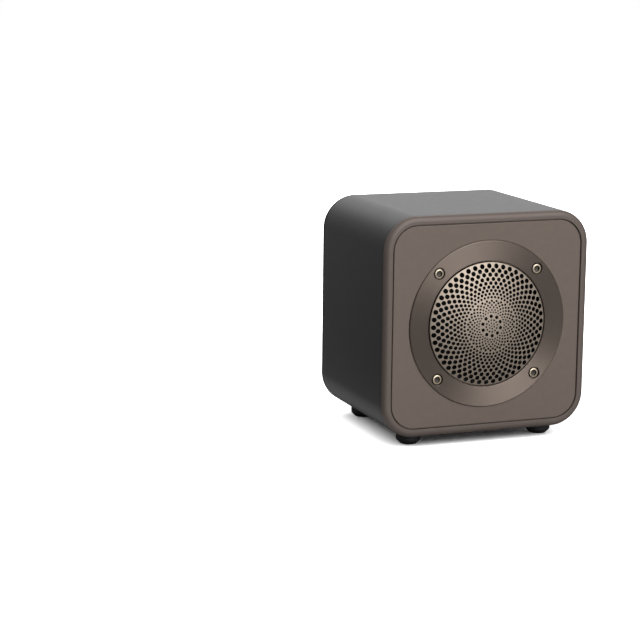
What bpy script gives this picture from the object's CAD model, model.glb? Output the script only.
"""A small wireless speaker with a perforated front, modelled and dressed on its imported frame."""

from __future__ import annotations

import logging
import math
from collections.abc import Callable, Sequence
from dataclasses import dataclass
from enum import Enum

import bpy
from mathutils import Matrix, Vector


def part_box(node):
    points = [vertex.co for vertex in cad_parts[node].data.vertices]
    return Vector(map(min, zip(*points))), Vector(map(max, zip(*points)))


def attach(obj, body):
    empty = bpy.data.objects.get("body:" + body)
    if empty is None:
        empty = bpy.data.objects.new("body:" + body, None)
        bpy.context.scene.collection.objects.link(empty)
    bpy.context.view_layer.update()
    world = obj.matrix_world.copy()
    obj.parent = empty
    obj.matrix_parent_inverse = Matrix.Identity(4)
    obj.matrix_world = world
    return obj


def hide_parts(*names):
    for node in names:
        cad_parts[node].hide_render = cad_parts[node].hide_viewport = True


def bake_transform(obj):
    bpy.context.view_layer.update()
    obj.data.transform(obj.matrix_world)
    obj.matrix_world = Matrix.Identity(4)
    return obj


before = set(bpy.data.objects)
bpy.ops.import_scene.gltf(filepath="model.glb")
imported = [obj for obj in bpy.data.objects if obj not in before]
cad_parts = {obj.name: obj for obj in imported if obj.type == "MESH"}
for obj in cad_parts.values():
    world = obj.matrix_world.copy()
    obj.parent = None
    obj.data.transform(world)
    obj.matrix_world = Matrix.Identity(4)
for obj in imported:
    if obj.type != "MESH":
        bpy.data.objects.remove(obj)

LOG = logging.getLogger("speaker")
MM = 0.001
# Sizes that recur, in millimetres: a pole's radius, the reach of a merge, the margin of a match,
# how far a tool goes past a piece, and a narrow strip that keeps the shading of an edge tight.
POLE = 0.001
MERGE = 3 * POLE
NEAR = 0.01
PAST = 1.0
STRIP = 0.1
# The share of a face's normal along the axis from which the face counts as level.
LEVEL_FACE = 0.9
Point = tuple[float, float]
Place = tuple[float, float, float]
Colour = tuple[float, float, float]
Piece = bpy.types.Object

FRONT_Y = -36.6
REAR_Y = 41.4
CENTRE_Z = 55.0


class View(Enum):
    """The side from which a piece is drawn."""

    FRONT = "front"
    REAR = "rear"

    def matrix(self) -> Matrix:
        """Give the turn and the shift from the drawing to the object's frame.

        Returns:
            The matrix, in metres.
        """
        upright = Matrix.Rotation(math.radians(90), 4, "X")
        if self is View.FRONT:
            return Matrix.Translation((0, FRONT_Y * MM, CENTRE_Z * MM)) @ upright
        about = Matrix.Rotation(math.radians(180), 4, "Z")
        return Matrix.Translation((0, REAR_Y * MM, CENTRE_Z * MM)) @ about @ upright


class Join(Enum):
    """What a tool body does to the piece that it meets."""

    CUT = "DIFFERENCE"
    ADD = "UNION"


class Bench:
    """Hand moves on the piece that is being made, with sizes in millimetres."""

    @staticmethod
    def clear() -> None:
        """Leave edit mode and deselect everything."""
        active = bpy.context.view_layer.objects.active
        if active is not None and active.mode != "OBJECT":
            bpy.ops.object.mode_set(mode="OBJECT")
        bpy.ops.object.select_all(action="DESELECT")

    @staticmethod
    def take(piece: Piece) -> None:
        """Select one piece alone and make it active.

        Args:
            piece: The piece to work on.
        """
        Bench.clear()
        piece.select_set(True)
        bpy.context.view_layer.objects.active = piece

    @staticmethod
    def open(piece: Piece, mode: str = "FACE") -> None:
        """Open a piece in edit mode with nothing selected.

        Args:
            piece: The piece to work on.
            mode: The kind of element to select, VERT, EDGE or FACE.
        """
        Bench.take(piece)
        bpy.ops.object.mode_set(mode="EDIT")
        bpy.ops.mesh.select_mode(type=mode)
        bpy.ops.mesh.select_all(action="DESELECT")

    @staticmethod
    def pick_faces(piece: Piece, test: Callable[[Vector, Vector], bool]) -> None:
        """Open a piece with the faces selected that pass a test.

        Args:
            piece: The piece to work on.
            test: Takes a face's middle in millimetres and its normal.
        """
        Bench.open(piece, "FACE")
        bpy.ops.object.mode_set(mode="OBJECT")
        for face in piece.data.polygons:
            face.select = test(face.center / MM, face.normal)
        bpy.ops.object.mode_set(mode="EDIT")

    @staticmethod
    def pick_edges(piece: Piece, test: Callable[[Vector, Vector], bool]) -> None:
        """Open a piece with the edges selected whose two ends pass a test.

        Args:
            piece: The piece to work on.
            test: Takes the two ends of an edge in millimetres.
        """
        Bench.open(piece, "EDGE")
        bpy.ops.object.mode_set(mode="OBJECT")
        points = piece.data.vertices
        for edge in piece.data.edges:
            first, second = (points[index].co / MM for index in edge.vertices)
            edge.select = test(first, second)
        bpy.ops.object.mode_set(mode="EDIT")

    @staticmethod
    def turn(name: str, profile: Sequence[Point], sides: int = 96) -> Piece:
        """Turn a profile about the drawing's Z axis.

        A circle is drawn at the first point, and extruded and resized to each next one.

        Args:
            name: The piece's name.
            profile: Radius and level of each point; a radius of nought makes a pole, and a
                profile that ends where it began closes on itself.
            sides: The number of sides of the circle.

        Returns:
            The turned piece, at the origin.
        """
        Bench.clear()
        radius, level = max(profile[0][0], POLE), profile[0][1]
        bpy.ops.mesh.primitive_circle_add(vertices=sides, radius=radius * MM)
        piece = bpy.context.object
        piece.name = name
        piece.data.name = name
        bpy.ops.object.mode_set(mode="EDIT")
        bpy.ops.mesh.select_mode(type="VERT")
        bpy.ops.mesh.select_all(action="SELECT")
        bpy.ops.transform.translate(value=(0, 0, level * MM))
        for next_radius, next_level in profile[1:]:
            next_radius = max(next_radius, POLE)
            rise = {"value": (0, 0, (next_level - level) * MM)}
            bpy.ops.mesh.extrude_region_move(TRANSFORM_OT_translate=rise)
            share = next_radius / radius
            middle = (0, 0, next_level * MM)
            bpy.ops.transform.resize(value=(share, share, 1), center_override=middle)
            radius, level = next_radius, next_level
        Bench.tidy_mesh()
        return piece

    @staticmethod
    def tidy_mesh() -> None:
        """Merge doubles of the open mesh, turn its faces outwards and leave edit mode."""
        bpy.ops.mesh.select_all(action="SELECT")
        bpy.ops.mesh.remove_doubles(threshold=MERGE * MM)
        bpy.ops.mesh.normals_make_consistent(inside=False)
        bpy.ops.object.mode_set(mode="OBJECT")

    @staticmethod
    def slab(
        name: str, half: Point, corner: float, level: float, steps: Sequence[Point], arc: int = 24
    ) -> Piece:
        """Raise a plate with round corners through a row of steps.

        Args:
            name: The piece's name.
            half: Half of the width and of the height.
            corner: The corner radius.
            level: The level of the face that it starts from.
            steps: How far each step goes inwards and upwards; the last face stays selected.
            arc: The number of segments in a corner.

        Returns:
            The piece, closed, at the origin.
        """
        Bench.clear()
        bpy.ops.mesh.primitive_plane_add(size=2 * half[0] * MM)
        piece = bpy.context.object
        piece.name = name
        piece.data.name = name
        bpy.ops.object.mode_set(mode="EDIT")
        bpy.ops.mesh.select_mode(type="VERT")
        bpy.ops.mesh.select_all(action="SELECT")
        bpy.ops.transform.resize(value=(1, half[1] / half[0], 1))
        bpy.ops.transform.translate(value=(0, 0, level * MM))
        if corner:
            bpy.ops.mesh.bevel(
                offset=corner * MM, segments=arc, affect="VERTICES", clamp_overlap=False
            )
        bpy.ops.mesh.select_mode(type="FACE")
        bpy.ops.mesh.select_all(action="SELECT")
        Bench.steps(steps)
        bpy.ops.mesh.select_all(action="SELECT")
        bpy.ops.mesh.normals_make_consistent(inside=False)
        bpy.ops.object.mode_set(mode="OBJECT")
        return piece

    @staticmethod
    def steps(steps: Sequence[Point]) -> None:
        """Carry the selected face inwards and upwards in turn.

        Args:
            steps: How far each step goes inwards and along the face's normal.
        """
        for inwards, upwards in steps:
            if inwards:
                bpy.ops.mesh.inset(thickness=inwards * MM, depth=upwards * MM)
            else:
                bpy.ops.mesh.extrude_region_shrink_fatten(
                    TRANSFORM_OT_shrink_fatten={"value": upwards * MM}
                )

    @staticmethod
    def copy(piece: Piece, name: str) -> Piece:
        """Copy a piece with a mesh of its own.

        Args:
            piece: The piece to copy.
            name: The copy's name.

        Returns:
            The copy.
        """
        Bench.take(piece)
        bpy.ops.object.duplicate()
        twin = bpy.context.object
        twin.name = name
        twin.data.name = name
        return twin

    @staticmethod
    def move(piece: Piece, place: Place, turn: float = 0.0) -> Piece:
        """Turn a piece about the drawing's Z axis and move it, in its mesh.

        Args:
            piece: The piece to move.
            place: How far it goes, in millimetres.
            turn: The turn in degrees.

        Returns:
            The same piece.
        """
        Bench.take(piece)
        piece.rotation_euler = (0, 0, math.radians(turn))
        piece.location = Vector(place) * MM
        bpy.ops.object.transform_apply(location=True, rotation=True, scale=True)
        return piece

    @staticmethod
    def flip(piece: Piece) -> Piece:
        """Turn a piece upside down about its X axis, in its mesh.

        Args:
            piece: The piece to turn.

        Returns:
            The same piece.
        """
        Bench.take(piece)
        piece.rotation_euler = (math.pi, 0, 0)
        bpy.ops.object.transform_apply(location=True, rotation=True, scale=True)
        return piece

    @staticmethod
    def stand(piece: Piece, view: View) -> Piece:
        """Put a drawn piece where it belongs in the object, in its mesh.

        Args:
            piece: The piece to place.
            view: The side from which it was drawn.

        Returns:
            The same piece.
        """
        Bench.take(piece)
        piece.matrix_world = view.matrix()
        bpy.ops.object.transform_apply(location=True, rotation=True, scale=True)
        return piece

    @staticmethod
    def merge(pieces: Sequence[Piece], name: str) -> Piece:
        """Make several pieces one object.

        Args:
            pieces: The pieces to join.
            name: The name of the whole.

        Returns:
            The joined piece.
        """
        Bench.take(pieces[0])
        for piece in pieces:
            piece.select_set(True)
        if len(pieces) > 1:
            bpy.ops.object.join()
        whole = bpy.context.object
        whole.name = name
        whole.data.name = name
        return whole

    @staticmethod
    def meet(piece: Piece, tools: Sequence[Piece], join: Join) -> Piece:
        """Cut tool bodies out of a piece or add them to it, and remove the tools.

        Args:
            piece: The piece to change.
            tools: The tool bodies, which don't touch each other.
            join: What the tools do.

        Returns:
            The same piece.
        """
        tool = Bench.merge(tools, piece.name + "_tool")
        Bench.take(piece)
        modifier = piece.modifiers.new("meet", "BOOLEAN")
        modifier.operation = join.value
        modifier.solver = "MANIFOLD"
        modifier.object = tool
        bpy.ops.object.modifier_apply(modifier=modifier.name)
        bpy.data.objects.remove(tool)
        return piece

    @staticmethod
    def apply(piece: Piece, kind: str, **settings: object) -> Piece:
        """Apply one modifier to a piece.

        Args:
            piece: The piece to change.
            kind: The modifier's type.
            settings: The modifier's settings.

        Returns:
            The same piece.
        """
        Bench.take(piece)
        modifier = piece.modifiers.new(kind.lower(), kind)
        for name, value in settings.items():
            setattr(modifier, name, value)
        bpy.ops.object.modifier_apply(modifier=modifier.name)
        return piece

    @staticmethod
    def bevel(width: float) -> None:
        """Bevel the selected edges in two steps and leave edit mode."""
        bpy.ops.mesh.bevel(offset=width * MM, segments=2, clamp_overlap=False)
        bpy.ops.object.mode_set(mode="OBJECT")

    @staticmethod
    def hollow(piece: Piece, wall: float) -> Piece:
        """Open both ends of a slab and leave a tube.

        Args:
            piece: The slab.
            wall: The thickness of the tube's wall.

        Returns:
            The same piece.
        """
        Bench.pick_faces(piece, lambda _, normal: abs(normal.z) > LEVEL_FACE)
        bpy.ops.mesh.delete(type="ONLY_FACE")
        bpy.ops.object.mode_set(mode="OBJECT")
        return Bench.apply(piece, "SOLIDIFY", thickness=wall * MM, offset=-1.0,
                           use_even_offset=True)

    @staticmethod
    def spread(
        model: Piece, name: str, spots: Sequence[Point], turns: Sequence[float] = (0.0,) * 4
    ) -> Piece:
        """Set copies of a model as one piece, and remove the model.

        Args:
            model: The model, drawn about the origin.
            name: The name of the whole.
            spots: Where each copy goes.
            turns: How far each copy is turned, in degrees.

        Returns:
            The joined copies.
        """
        copies = []
        for index, (spot, turn) in enumerate(zip(spots, turns)):
            copies.append(Bench.move(Bench.copy(model, f"{name}_{index}"), (*spot, 0), turn))
        bpy.data.objects.remove(model)
        return Bench.merge(copies, name)

    @staticmethod
    def shade(piece: Piece, angle: float = 32.0) -> Piece:
        """Shade a piece smooth between its sharp edges, with flat faces kept flat.

        Args:
            piece: The piece to shade.
            angle: The angle in degrees from which an edge is sharp.

        Returns:
            The same piece.
        """
        Bench.take(piece)
        bpy.ops.object.shade_smooth_by_angle(angle=math.radians(angle))
        Bench.apply(piece, "WEIGHTED_NORMAL", keep_sharp=True)
        return piece


def arc_steps(radius: float, count: int) -> list[Point]:
    """Give the steps of a quarter round that rises from a wall and ends level.

    Args:
        radius: The radius of the round.
        count: The number of steps.

    Returns:
        How far each step goes inwards and upwards.
    """
    angles = [math.pi / 2 * index / count for index in range(count + 1)]
    points = [(radius * (1 - math.cos(a)), radius * math.sin(a)) for a in angles]
    return [(b[0] - a[0], b[1] - a[1]) for a, b in zip(points, points[1:])]


def arc_points(
    centre: Point, radius: float, start: float, end: float, count: int
) -> list[Point]:
    """Give points along an arc of a turned profile.

    Args:
        centre: Radius and level of the arc's centre.
        radius: The arc's own radius.
        start: The angle of the first point in degrees, from outwards towards upwards.
        end: The angle of the last point in degrees.
        count: The number of steps between the points.

    Returns:
        The points, both ends included.
    """
    points = []
    for index in range(count + 1):
        angle = math.radians(start + (end - start) * index / count)
        points.append((centre[0] + radius * math.cos(angle), centre[1] + radius * math.sin(angle)))
    return points


def corners(reach: float) -> list[Point]:
    """Give the four corners of a square about the axis, at a reach across and up."""
    return [(x * reach, y * reach) for x in (-1, 1) for y in (-1, 1)]


class Signal:
    """A number socket that can stand in a Python expression."""

    def __init__(self, wiring: Wiring, socket: bpy.types.NodeSocket) -> None:
        """Keep the socket and the wiring that new nodes go into."""
        self.wiring = wiring
        self.socket = socket

    def join(self, operation: str, first: Signal | float, second: Signal | float) -> Signal:
        """Add a Math node.

        Args:
            operation: The node's operation.
            first: Its first value.
            second: Its second value.

        Returns:
            The node's result.
        """
        settings = {"operation": operation}
        node = self.wiring.node("ShaderNodeMath", settings, {0: first, 1: second})
        return Signal(self.wiring, node.outputs[0])

    def __add__(self, other: Signal | float) -> Signal:
        """Add a value."""
        return self.join("ADD", self, other)

    def __radd__(self, other: float) -> Signal:
        """Add to a number."""
        return self.join("ADD", other, self)

    def __sub__(self, other: Signal | float) -> Signal:
        """Take a value away."""
        return self.join("SUBTRACT", self, other)

    def __rsub__(self, other: float) -> Signal:
        """Take from a number."""
        return self.join("SUBTRACT", other, self)

    def __mul__(self, other: Signal | float) -> Signal:
        """Multiply by a value."""
        return self.join("MULTIPLY", self, other)

    def __rmul__(self, other: float) -> Signal:
        """Multiply a number."""
        return self.join("MULTIPLY", other, self)

    def __truediv__(self, other: Signal | float) -> Signal:
        """Divide by a value."""
        return self.join("DIVIDE", self, other)

    def __rtruediv__(self, other: float) -> Signal:
        """Divide a number."""
        return self.join("DIVIDE", other, self)

    def larger(self, other: Signal | float) -> Signal:
        """Give the larger of two values."""
        return self.join("MAXIMUM", self, other)

    def above(self, other: Signal | float) -> Signal:
        """Give one where the value is above another, and nought elsewhere."""
        return self.join("GREATER_THAN", self, other)


Input = Signal | bpy.types.NodeSocket | float | tuple


class Wiring:
    """The node tree of one material or of the world."""

    def __init__(self, owner: bpy.types.Material | bpy.types.World) -> None:
        """Empty the owner's node tree and keep it.

        Args:
            owner: The material or the world.
        """
        owner.use_nodes = True
        self.tree = owner.node_tree
        self.tree.nodes.clear()

    def node(
        self, kind: str, settings: dict[str, object] | None = None,
        sockets: dict[str | int, Input] | None = None,
    ) -> bpy.types.Node:
        """Add a node.

        Args:
            kind: The node's type.
            settings: Its settings, with a ramp's stops under the name stops.
            sockets: The value or link of each socket.

        Returns:
            The node.
        """
        node = self.tree.nodes.new(kind)
        for name, value in (settings or {}).items():
            if name == "stops":
                self.set_stops(node.color_ramp, value)
            else:
                setattr(node, name, value)
        for name, value in (sockets or {}).items():
            socket = node.inputs[name]
            if isinstance(value, Signal):
                self.tree.links.new(value.socket, socket)
            elif isinstance(value, bpy.types.NodeSocket):
                self.tree.links.new(value, socket)
            elif isinstance(value, tuple) and socket.type == "RGBA":
                socket.default_value = (*value, 1.0)
            else:
                socket.default_value = value
        return node

    @staticmethod
    def set_stops(ramp: bpy.types.ColorRamp, stops: Sequence[tuple[float, Colour]]) -> None:
        """Set the stops of a colour ramp.

        Args:
            ramp: The ramp.
            stops: The place and colour of each stop, at least two.
        """
        while len(ramp.elements) < len(stops):
            ramp.elements.new(1.0)
        for element, (place, colour) in zip(ramp.elements, stops):
            element.position = place
            element.color = (*colour, 1.0)

    def signal(self, kind: str, settings: dict, sockets: dict, output: str | int = 0) -> Signal:
        """Add a node and give one of its number outputs.

        Args:
            kind: The node's type.
            settings: Its settings.
            sockets: The value or link of each socket.
            output: The output's name or number.

        Returns:
            The output as a signal.
        """
        return Signal(self, self.node(kind, settings, sockets).outputs[output])

    def object_place(self) -> bpy.types.NodeSocket:
        """Give the place on the piece, in metres."""
        return self.node("ShaderNodeTexCoord").outputs["Object"]

    def along(self, vector: bpy.types.NodeSocket, axis: str) -> Signal:
        """Give the part of a vector along one axis."""
        return self.signal("ShaderNodeSeparateXYZ", {}, {0: vector}, axis)

    def noise(self, size: float, detail: float = 2.0, stretch: Place = (1, 1, 1)) -> Signal:
        """Give a soft random pattern.

        Args:
            size: The size of its cells in millimetres.
            detail: The number of finer layers.
            stretch: How much longer the cells are along each axis.

        Returns:
            A value round a half.
        """
        scale = tuple(1 / (size * MM * s) for s in stretch)
        place = self.node("ShaderNodeMapping", {}, {"Vector": self.object_place(), "Scale": scale})
        sockets = {"Vector": place.outputs[0], "Scale": 1.0, "Detail": detail, "Roughness": 0.55}
        return self.signal("ShaderNodeTexNoise", {}, sockets)

    def blend(self, share: Input, first: Input, second: Input) -> bpy.types.NodeSocket:
        """Mix two colours.

        Args:
            share: The share of the second colour.
            first: The first colour.
            second: The second colour.

        Returns:
            The mixed colour.
        """
        settings = {"data_type": "RGBA"}
        return self.node("ShaderNodeMix", settings, {0: share, 6: first, 7: second}).outputs[2]

    def ramp(self, value: Input, stops: Sequence[tuple[float, Colour]]) -> bpy.types.NodeSocket:
        """Turn a value into a colour.

        Args:
            value: The value, from nought to one.
            stops: The place and colour of each stop.

        Returns:
            The colour.
        """
        return self.node("ShaderNodeValToRGB", {"stops": stops}, {"Fac": value}).outputs["Color"]

    def bump(self, height: Signal, depth: float) -> bpy.types.NodeSocket:
        """Give the normal of a surface with fine relief.

        Args:
            height: The relief, from nought to one.
            depth: The depth of the relief in millimetres.

        Returns:
            The normal.
        """
        sockets = {"Height": height, "Distance": depth * MM, "Strength": 1.0}
        return self.node("ShaderNodeBump", {}, sockets).outputs[0]

    def axis_distance(self, centre: Place) -> Signal:
        """Give the distance in millimetres from an axis that runs front to back.

        Args:
            centre: A point on the axis, in millimetres.

        Returns:
            The distance.
        """
        shift = tuple(-value * MM for value in centre)
        moved = self.node("ShaderNodeVectorMath", {"operation": "ADD"},
                          {0: self.object_place(), 1: shift})
        flat = self.node("ShaderNodeVectorMath", {"operation": "MULTIPLY"},
                         {0: moved.outputs[0], 1: (1 / MM, 0.0, 1 / MM)})
        return self.signal("ShaderNodeVectorMath", {"operation": "LENGTH"},
                           {0: flat.outputs[0]}, "Value")

    def surface(self, sockets: dict[str, Input]) -> None:
        """Close the tree with one principled surface.

        Args:
            sockets: The value or link of each of its sockets.
        """
        body = self.node("ShaderNodeBsdfPrincipled", {}, sockets)
        self.node("ShaderNodeOutputMaterial", {}, {"Surface": body.outputs[0]})


# The layers of a fine grain, its share of the tone, and how much broader the slow pattern is.
FINE_DETAIL = 3.0
FINE_SHARE = 0.6
BROADER = 30
# A Wave texture multiplies its place by this number.
WAVE_UNIT = 20


@dataclass(frozen=True)
class Finish:
    """A finish with a grain of two tones, a varying gloss and a fine relief."""

    name: str
    light: Colour
    dark: Colour
    grain: float = 0.4
    roughness: float = 0.5
    spread: float = 0.08
    metallic: float = 0.0
    relief: float = 0.004
    stretch: Place = (1, 1, 1)
    specular: float = 0.5
    margin: float = 0.3

    def material(self) -> bpy.types.Material:
        """Give the finish's material, made on first use.

        Returns:
            The material.
        """
        label = "finish_" + self.name
        known = bpy.data.materials.get(label)
        if known is not None:
            return known
        made = bpy.data.materials.new(label)
        self.wire(Wiring(made))
        return made

    def tones(self, wiring: Wiring, pattern: Signal) -> bpy.types.NodeSocket:
        """Turn a pattern from nought to one into the finish's two tones."""
        return wiring.ramp(pattern, ((self.margin, self.dark), (1 - self.margin, self.light)))

    def close(
        self, wiring: Wiring, colour: Input, gloss: Signal, relief: Signal,
        more: dict[str, Input] | None = None,
    ) -> None:
        """Close the tree with the surface that every finish ends in.

        Args:
            wiring: The material's node tree.
            colour: The base colour.
            gloss: The pattern that the roughness follows.
            relief: The pattern of the fine relief.
            more: Further sockets of the surface.
        """
        wiring.surface({
            "Base Color": colour,
            "Roughness": gloss * self.spread + (self.roughness - self.spread / 2),
            "Metallic": self.metallic,
            "Specular IOR Level": self.specular,
            "Normal": wiring.bump(relief, self.relief),
            **(more or {}),
        })

    def wire(self, wiring: Wiring) -> None:
        """Build the nodes of the finish.

        Args:
            wiring: The material's node tree.
        """
        fine = wiring.noise(self.grain, FINE_DETAIL, self.stretch)
        broad = wiring.noise(self.grain * BROADER)
        tone = fine * FINE_SHARE + broad * (1 - FINE_SHARE)
        self.close(wiring, self.tones(wiring, tone), broad, fine)


@dataclass(frozen=True)
class TurnedMetal(Finish):
    """Metal that was faced on a lathe about the axis of the front."""

    margin: float = 0.25
    pitch: float = 0.09
    line_share: float = 0.75
    patch: float = 6.0
    anisotropy: float = 0.9
    brush_turn: float = 0.25

    def wire(self, wiring: Wiring) -> None:
        """Build the nodes of the finish.

        Args:
            wiring: The material's node tree.
        """
        distance = wiring.axis_distance((0.0, 0.0, CENTRE_Z))
        lines = wiring.signal("ShaderNodeTexNoise", {"noise_dimensions": "1D"},
                              {"W": distance / self.pitch, "Scale": 1.0, "Detail": 2.0})
        broad = wiring.noise(self.patch)
        tone = lines * self.line_share + broad * (1 - self.line_share)
        tangent = wiring.node("ShaderNodeTangent", {"direction_type": "RADIAL", "axis": "Y"})
        self.close(wiring, self.tones(wiring, tone), lines, lines, {
            "Anisotropic": self.anisotropy,
            "Anisotropic Rotation": self.brush_turn,
            "Tangent": tangent.outputs[0],
        })


@dataclass(frozen=True)
class Bands(Finish):
    """A finish of fine rings side by side, as a winding or a cloth has."""

    margin: float = 0.1
    pitch: float = 0.25
    band_share: float = 0.7

    def wire(self, wiring: Wiring) -> None:
        """Build the nodes of the finish.

        Args:
            wiring: The material's node tree.
        """
        settings = {"wave_type": "BANDS", "bands_direction": "Y"}
        scale = 1 / (self.pitch * MM * WAVE_UNIT)
        sockets = {"Vector": wiring.object_place(), "Scale": scale, "Distortion": 0.0}
        bands = wiring.signal("ShaderNodeTexWave", settings, sockets, "Fac")
        fine = wiring.noise(self.grain)
        tone = bands * self.band_share + fine * (1 - self.band_share)
        self.close(wiring, self.tones(wiring, tone), fine, bands)


@dataclass(frozen=True)
class BoardLacquer(Finish):
    """Solder resist over copper tracks on a circuit board."""

    track: float = 1.6
    border: float = 0.55

    def wire(self, wiring: Wiring) -> None:
        """Build the nodes of the finish.

        Args:
            wiring: The material's node tree.
        """
        place = wiring.node("ShaderNodeMapping", {}, {
            "Vector": wiring.object_place(), "Scale": (1 / (self.track * MM),) * 3,
        })
        cells = wiring.signal("ShaderNodeTexVoronoi", {"distance": "MANHATTAN"},
                              {"Vector": place.outputs[0], "Scale": 1.0}, "Distance")
        track = cells.above(self.border)
        fine = wiring.noise(self.grain)
        self.close(wiring, wiring.blend(track, self.dark, self.light), fine, track)


@dataclass(frozen=True)
class PiercedMetal(Finish):
    """Sheet metal that is bright on its front and black in its holes and behind."""

    black: Colour = (0.004, 0.004, 0.004)
    steep: float = -0.45
    open: float = -0.7

    def wire(self, wiring: Wiring) -> None:
        """Build the nodes of the finish.

        Args:
            wiring: The material's node tree.
        """
        facing = wiring.node("ShaderNodeTexCoord").outputs["Normal"]
        front = wiring.signal("ShaderNodeMapRange", {}, {
            "Value": wiring.along(facing, "Y"), "From Min": self.steep, "From Max": self.open,
        })
        fine = wiring.noise(self.grain, FINE_DETAIL)
        colour = wiring.blend(front, self.black, self.tones(wiring, fine))
        self.close(wiring, colour, fine, fine)


@dataclass(frozen=True)
class SunkFinish(Finish):
    """A finish that turns dark a little way behind the front."""

    level: float = 0.02
    fade: float = 0.12
    shade: Colour = (0.05, 0.044, 0.038)

    def wire(self, wiring: Wiring) -> None:
        """Build the nodes of the finish.

        Args:
            wiring: The material's node tree.
        """
        near = FRONT_Y + self.level
        deep = wiring.signal("ShaderNodeMapRange", {}, {
            "Value": wiring.along(wiring.object_place(), "Y"), "From Min": near * MM,
            "From Max": (near + self.fade) * MM,
        })
        fine = wiring.noise(self.grain)
        colour = wiring.blend(deep, self.tones(wiring, fine), self.shade)
        self.close(wiring, colour, fine, fine)


CASE_PAINT = Finish("case_paint", (0.036, 0.036, 0.037), (0.028, 0.028, 0.029), 0.16, 0.41, 0.06,
                    0.0, 0.004)
BEZEL_BRONZE = SunkFinish("bezel_bronze", (0.199, 0.161, 0.141), (0.177, 0.142, 0.125), 0.12, 0.46,
                          0.05, 0.4, 0.002, level=2.8, fade=0.1, shade=(0.012, 0.012, 0.012))
PLATE_BRONZE = Finish("plate_bronze", (0.229, 0.18, 0.152), (0.203, 0.16, 0.135), 0.12, 0.44,
                      0.05, 0.35, 0.003)
RING_METAL = TurnedMetal("ring_metal", (0.275, 0.223, 0.191), (0.227, 0.184, 0.157), 0.2, 0.42, 0.06,
                         1.0, 0.0006)
GRILLE_METAL = PiercedMetal("grille_metal", (0.53, 0.446, 0.368), (0.465, 0.388, 0.32), 0.15, 0.42,
                            0.06, 0.85, 0.002)
CAP_STEEL = SunkFinish("screw_steel", (0.9, 0.77, 0.6), (0.8, 0.67, 0.51), 0.1, 0.36, 0.08, 1.0,
                       0.001, shade=(0.11, 0.1, 0.088))
RUBBER = Finish("foot_rubber", (0.018, 0.018, 0.019), (0.011, 0.011, 0.012), 0.2, 0.62, 0.1, 0.0,
                0.01)
REAR_PLASTIC = Finish("rear_plastic", (0.034, 0.034, 0.036), (0.022, 0.022, 0.024), 0.22, 0.5,
                      0.08, 0.0, 0.02)
KEY_RUBBER = Finish("key_rubber", (0.03, 0.03, 0.032), (0.022, 0.022, 0.024), 0.12, 0.55, 0.08,
                    0.0, 0.006)
SIGN_INK = Finish("sign_ink", (0.72, 0.72, 0.7), (0.62, 0.62, 0.6), 0.1, 0.5, 0.06, 0.0, 0.002)
BLACK_SCREW = Finish("black_screw", (0.05, 0.05, 0.052), (0.03, 0.03, 0.032), 0.1, 0.36, 0.1, 0.8,
                     0.003)
ZINC = Finish("zinc_steel", (0.6, 0.59, 0.55), (0.48, 0.47, 0.45), 0.5, 0.36, 0.12, 1.0, 0.003)
FOAM = Finish("gasket_foam", (0.03, 0.03, 0.03), (0.012, 0.012, 0.012), 0.3, 0.9, 0.08, 0.0, 0.05)
ROLL_RUBBER = Finish("roll_rubber", (0.012, 0.012, 0.013), (0.007, 0.007, 0.008), 0.3, 0.6, 0.1,
                     specular=0.12)
SPIDER = Bands("spider_cloth", (0.42, 0.27, 0.1), (0.3, 0.18, 0.06), 0.3, 0.8, 0.1, 0.0, 0.05)
CONE_PAPER = Finish("cone_paper", (0.014, 0.014, 0.015), (0.008, 0.008, 0.009), 0.5, 0.8, 0.1, 0.0,
                    0.02, specular=0.12)
COIL_PAPER = Finish("coil_paper", (0.5, 0.36, 0.2), (0.4, 0.28, 0.15), 0.4, 0.6, 0.1)
COPPER = Bands("copper", (0.72, 0.3, 0.12), (0.42, 0.15, 0.06), 0.2, 0.35, 0.1, 1.0, 0.04)
FERRITE = Finish("ferrite", (0.07, 0.07, 0.075), (0.04, 0.04, 0.045), 0.3, 0.6, 0.15, 0.2, 0.01)
PHENOLIC = Finish("phenolic", (0.28, 0.15, 0.06), (0.2, 0.1, 0.04), 0.3, 0.5, 0.1)
TINNED = Finish("tinned_brass", (0.7, 0.68, 0.62), (0.58, 0.55, 0.48), 0.2, 0.35, 0.1, 1.0)
BOARD = BoardLacquer("board_green", (0.03, 0.16, 0.06), (0.015, 0.09, 0.035), 0.3, 0.35, 0.08,
                     0.0, 0.02)
SWITCH = Finish("switch_plastic", (0.05, 0.05, 0.05), (0.03, 0.03, 0.03), 0.2, 0.5, 0.1)
PLUNGER = Finish("plunger_plastic", (0.6, 0.58, 0.5), (0.5, 0.48, 0.4), 0.2, 0.5, 0.1)
SOCKET_METAL = Finish("socket_metal", (0.6, 0.6, 0.59), (0.48, 0.48, 0.47), 0.25, 0.32, 0.1, 1.0,
                      0.002, (1, 6, 1))
SOCKET_PLASTIC = Finish("socket_plastic", (0.03, 0.03, 0.03), (0.02, 0.02, 0.02), 0.15, 0.45, 0.1)
LED_CLEAR = Finish("led_clear", (0.8, 0.8, 0.76), (0.72, 0.72, 0.68), 0.4, 0.2, 0.06)
SLEEVE = Finish("capacitor_sleeve", (0.05, 0.06, 0.12), (0.03, 0.04, 0.09), 0.5, 0.35, 0.1)
NYLON = Finish("connector_white", (0.82, 0.8, 0.73), (0.74, 0.72, 0.65), 0.3, 0.5, 0.1)
CELL_WRAP = Finish("cell_wrap", (0.05, 0.2, 0.42), (0.035, 0.15, 0.34), 0.6, 0.35, 0.1)
CRADLE = Finish("cradle_plastic", (0.05, 0.05, 0.05), (0.035, 0.035, 0.035), 0.25, 0.6, 0.1)
LEAD_BLACK = Finish("lead_black", (0.025, 0.025, 0.025), (0.015, 0.015, 0.015), 0.3, 0.45, 0.1)
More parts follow.
